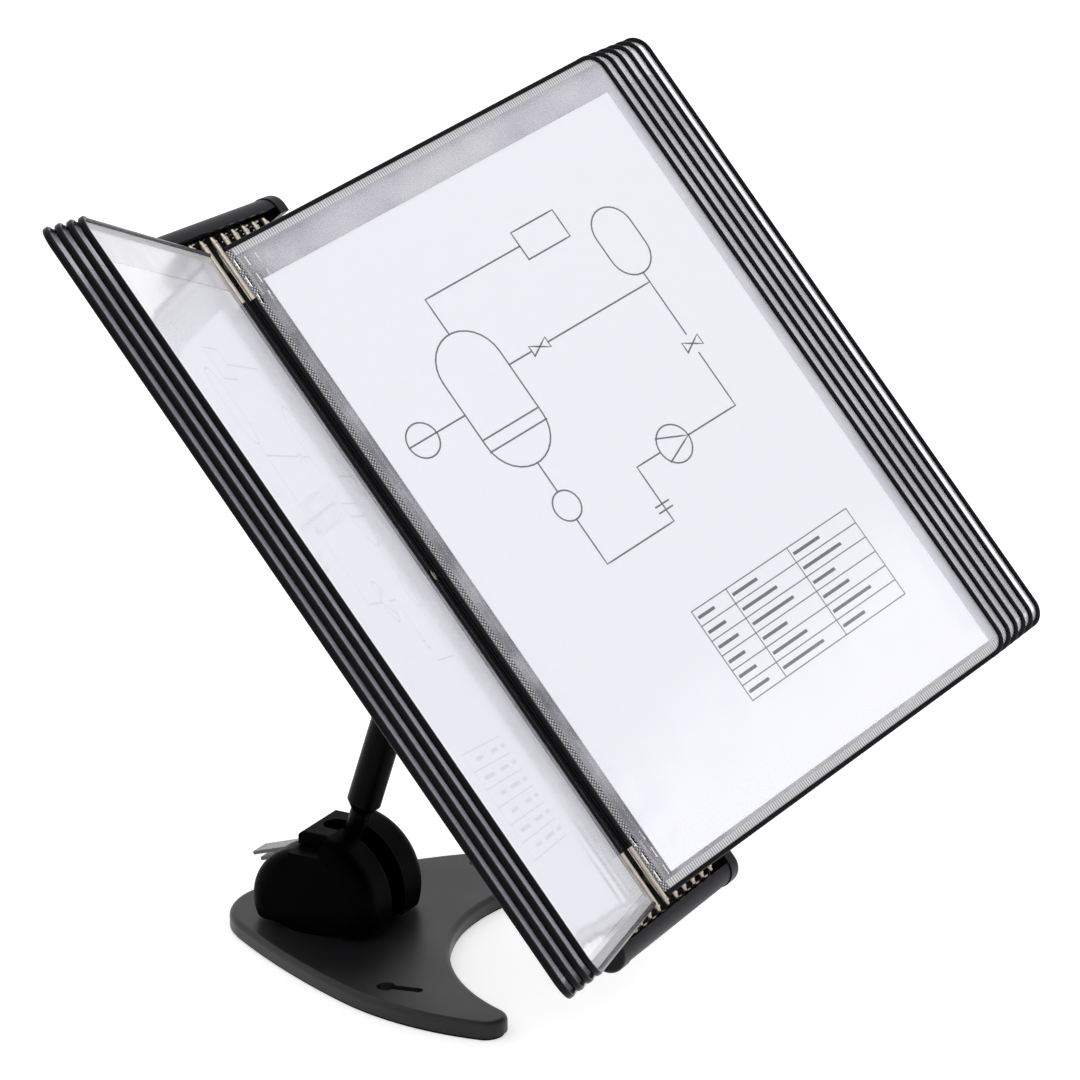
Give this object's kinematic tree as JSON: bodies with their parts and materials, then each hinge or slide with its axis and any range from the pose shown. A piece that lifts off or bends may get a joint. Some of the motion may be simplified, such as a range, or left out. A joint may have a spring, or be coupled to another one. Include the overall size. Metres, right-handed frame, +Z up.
{
  "type": "display pocket stand",
  "caption": "Desktop stand with a crescent base, a tilting arm and framed clear pockets that turn like pages on bent wire hooks.",
  "frame": {"origin": "on the table under the hub, where its swivel axis meets the underside of the pad", "axes": "+Z up, -Y towards the reader and the tips of the crescent base, +X to the reader's right"},
  "size_m": [0.5223, 0.3486, 0.3621],
  "materials": {
    "satin_black_steel": "satin powder coat",
    "black_rubber": "matte",
    "black_plastic": "fine moulded satin",
    "black_aluminium": "black anodised",
    "edging_plastic": "smooth extruded",
    "bare_steel": "drawn, bright",
    "zinc_steel": "zinc plated",
    "clear_film": "clear, glossy",
    "white_paper": "matte, printed with a plain table and a line diagram"
  },
  "bodies": {
    "base": {"base_plate": "satin_black_steel", "base_pad": "black_rubber", "swivel_bolt": "zinc_steel"},
    "hub": {"hub_turntable": "black_plastic", "hub_cheek_left": "black_plastic", "hub_cheek_right": "black_plastic", "hub_cover": "black_plastic", "hub_fasteners": "zinc_steel"},
    "lever": {"clamp_lever": "black_plastic"},
    "arm": {"arm_tube": "satin_black_steel", "arm_neck": "satin_black_steel", "arm_head_eye": "satin_black_steel"},
    "holder": {"head_clevis": "satin_black_steel", "spine_rail": "black_aluminium", "upper_bracket": "satin_black_steel", "lower_bracket": "satin_black_steel", "end_caps": "black_plastic", "holder_fasteners": "zinc_steel", "hook_pins": "bare_steel"},
    "knob": {"head_knob": "black_plastic"},
    "pocket_01": {"pocket_01_spine": "bare_steel", "pocket_01_binding": "edging_plastic", "pocket_01_film": "clear_film", "pocket_01_sheet": "white_paper"},
    "pocket_02": {"pocket_02_spine": "bare_steel", "pocket_02_binding": "edging_plastic", "pocket_02_film": "clear_film", "pocket_02_sheet": "white_paper"},
    "pocket_03": {"pocket_03_spine": "bare_steel", "pocket_03_binding": "edging_plastic", "pocket_03_film": "clear_film", "pocket_03_sheet": "white_paper"},
    "pocket_04": {"pocket_04_spine": "bare_steel", "pocket_04_binding": "edging_plastic", "pocket_04_film": "clear_film", "pocket_04_sheet": "white_paper"},
    "pocket_05": {"pocket_05_spine": "bare_steel", "pocket_05_binding": "edging_plastic", "pocket_05_film": "clear_film", "pocket_05_sheet": "white_paper"},
    "pocket_06": {"pocket_06_spine": "bare_steel", "pocket_06_binding": "edging_plastic", "pocket_06_film": "clear_film", "pocket_06_sheet": "white_paper"},
    "pocket_07": {"pocket_07_spine": "bare_steel", "pocket_07_binding": "edging_plastic", "pocket_07_film": "clear_film", "pocket_07_sheet": "white_paper"},
    "pocket_08": {"pocket_08_spine": "bare_steel", "pocket_08_binding": "edging_plastic", "pocket_08_film": "clear_film", "pocket_08_sheet": "white_paper"},
    "pocket_09": {"pocket_09_spine": "bare_steel", "pocket_09_binding": "edging_plastic", "pocket_09_film": "clear_film", "pocket_09_sheet": "white_paper"},
    "pocket_10": {"pocket_10_spine": "bare_steel", "pocket_10_binding": "edging_plastic", "pocket_10_film": "clear_film", "pocket_10_sheet": "white_paper"}
  },
  "joints": [
    {"name": "hub_swivel", "type": "hinge", "parent": "base", "child": "hub", "pos_m": [0, 0, 0.0102], "axis": [0, 0, 1], "range_deg": [-47, 73]},
    {"name": "lever_lift", "type": "hinge", "parent": "hub", "child": "lever", "pos_m": [0.00315, 0.01364, 0.0359], "axis": [0.9744, -0.225, 0], "range_deg": [0, 50]},
    {"name": "arm_tilt", "type": "hinge", "parent": "hub", "child": "arm", "pos_m": [-0.00056, -0.00244, 0.0242], "axis": [0.9744, -0.225, 0], "range_deg": [-23, 2]},
    {"name": "head_tilt", "type": "hinge", "parent": "arm", "child": "holder", "pos_m": [-0.00872, -0.03778, 0.13585], "axis": [0.9744, -0.225, 0], "range_deg": [-20, 5]},
    {"name": "knob_turn", "type": "hinge", "parent": "holder", "child": "knob", "pos_m": [-0.00872, -0.03778, 0.13585], "axis": [0.9744, -0.225, 0], "range_deg": [0, 180]},
    {"name": "page_turn_01", "type": "hinge", "parent": "holder", "child": "pocket_01", "pos_m": [-0.04753, -0.04585, 0.17205], "axis": [0.1449, 0.6276, 0.7649], "range_deg": [0, 9.88]},
    {"name": "page_turn_02", "type": "hinge", "parent": "holder", "child": "pocket_02", "pos_m": [-0.03974, -0.04765, 0.17205], "axis": [0.1449, 0.6276, 0.7649], "range_deg": [0, 19.76]},
    {"name": "page_turn_03", "type": "hinge", "parent": "holder", "child": "pocket_03", "pos_m": [-0.03194, -0.04945, 0.17205], "axis": [0.1449, 0.6276, 0.7649], "range_deg": [0, 29.64]},
    {"name": "page_turn_04", "type": "hinge", "parent": "holder", "child": "pocket_04", "pos_m": [-0.02415, -0.05125, 0.17205], "axis": [0.1449, 0.6276, 0.7649], "range_deg": [0, 39.5]},
    {"name": "page_turn_05", "type": "hinge", "parent": "holder", "child": "pocket_05", "pos_m": [-0.01635, -0.05305, 0.17205], "axis": [-0.1449, -0.6276, -0.7649], "range_deg": [0, 92]},
    {"name": "page_turn_06", "type": "hinge", "parent": "holder", "child": "pocket_06", "pos_m": [-0.00856, -0.05485, 0.17205], "axis": [-0.1449, -0.6276, -0.7649], "range_deg": [0, 76.68]},
    {"name": "page_turn_07", "type": "hinge", "parent": "holder", "child": "pocket_07", "pos_m": [-0.00076, -0.05665, 0.17205], "axis": [-0.1449, -0.6276, -0.7649], "range_deg": [0, 61.34]},
    {"name": "page_turn_08", "type": "hinge", "parent": "holder", "child": "pocket_08", "pos_m": [0.00703, -0.05845, 0.17205], "axis": [-0.1449, -0.6276, -0.7649], "range_deg": [0, 46.01]},
    {"name": "page_turn_09", "type": "hinge", "parent": "holder", "child": "pocket_09", "pos_m": [0.01483, -0.06025, 0.17205], "axis": [-0.1449, -0.6276, -0.7649], "range_deg": [0, 30.68]},
    {"name": "page_turn_10", "type": "hinge", "parent": "holder", "child": "pocket_10", "pos_m": [0.02262, -0.06204, 0.17205], "axis": [-0.1449, -0.6276, -0.7649], "range_deg": [0, 15.34]}
  ],
  "couplings": [
    {"joint": "page_turn_01", "follows": "page_turn_04", "ratio": 0.25},
    {"joint": "page_turn_02", "follows": "page_turn_04", "ratio": 0.5},
    {"joint": "page_turn_03", "follows": "page_turn_04", "ratio": 0.75},
    {"joint": "page_turn_06", "follows": "page_turn_05", "ratio": 0.83333},
    {"joint": "page_turn_07", "follows": "page_turn_05", "ratio": 0.66667},
    {"joint": "page_turn_08", "follows": "page_turn_05", "ratio": 0.5},
    {"joint": "page_turn_09", "follows": "page_turn_05", "ratio": 0.33333},
    {"joint": "page_turn_10", "follows": "page_turn_05", "ratio": 0.16667}
  ]
}
